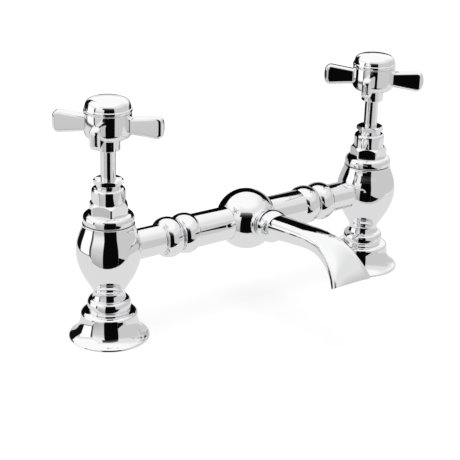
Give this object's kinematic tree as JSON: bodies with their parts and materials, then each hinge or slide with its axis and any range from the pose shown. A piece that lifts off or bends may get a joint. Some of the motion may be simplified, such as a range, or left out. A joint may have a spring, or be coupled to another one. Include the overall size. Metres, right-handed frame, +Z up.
{
  "type": "basin mixer tap",
  "caption": "Deck-mounted bridge basin mixer tap with crosshead handles, screw-down valves and a fixed curved spout.",
  "frame": {"origin": "on the deck, midway between the centres of the two inlet holes", "axes": "+X to the cold pillar, -Y forward along the spout to the user, +Z up"},
  "size_m": [0.2249, 0.1151, 0.1313],
  "materials": {
    "chrome": "polished chrome on brass",
    "chrome_cap": "polished chrome on brass",
    "bare_brass": "machined",
    "screw_steel": "machined",
    "rubber": "matte",
    "fibre": "matte",
    "packing": "matte"
  },
  "bodies": {
    "base": {"hot_foot": "chrome", "hot_foot_gasket": "rubber", "hot_body": "chrome", "hot_headwork_washer": "fibre", "hot_headwork": "chrome", "hot_gland_packing": "packing", "hot_gland_nut": "chrome", "hot_side_tube": "chrome", "hot_bridge_arm": "chrome", "hot_seal_rings": "rubber", "hot_lock_screw": "screw_steel", "cold_foot": "chrome", "cold_foot_gasket": "rubber", "cold_body": "chrome", "cold_headwork_washer": "fibre", "cold_headwork": "chrome", "cold_gland_packing": "packing", "cold_gland_nut": "chrome", "cold_side_tube": "chrome", "cold_bridge_arm": "chrome", "cold_seal_rings": "rubber", "cold_lock_screw": "screw_steel", "ball": "chrome", "spout_collar": "chrome", "spout_seal": "rubber", "spout": "chrome"},
    "hot_valve": {"hot_washer_nut": "bare_brass", "hot_tap_washer": "rubber", "hot_jumper": "bare_brass"},
    "hot_handle": {"hot_spindle": "chrome", "hot_handle": "chrome", "hot_handle_screw": "screw_steel", "hot_cap": "chrome_cap"},
    "cold_valve": {"cold_washer_nut": "bare_brass", "cold_tap_washer": "rubber", "cold_jumper": "bare_brass"},
    "cold_handle": {"cold_spindle": "chrome", "cold_handle": "chrome", "cold_handle_screw": "screw_steel", "cold_cap": "chrome_cap"}
  },
  "joints": [
    {"name": "hot_valve_lift", "type": "slide", "parent": "base", "child": "hot_valve", "axis": [0, 0, 1], "range_m": [0, 0.005]},
    {"name": "hot_handle_turn", "type": "hinge", "parent": "hot_valve", "child": "hot_handle", "pos_m": [-0.09, 0, 0.09], "axis": [0, 0, 1], "range_deg": [0, 720]},
    {"name": "cold_valve_lift", "type": "slide", "parent": "base", "child": "cold_valve", "axis": [0, 0, 1], "range_m": [0, 0.005]},
    {"name": "cold_handle_turn", "type": "hinge", "parent": "cold_valve", "child": "cold_handle", "pos_m": [0.09, 0, 0.09], "axis": [0, 0, 1], "range_deg": [0, 720]}
  ],
  "couplings": [
    {"joint": "hot_handle_turn", "follows": "hot_valve_lift", "rad_per_m": 2513.2},
    {"joint": "cold_handle_turn", "follows": "cold_valve_lift", "rad_per_m": 2513.2}
  ]
}
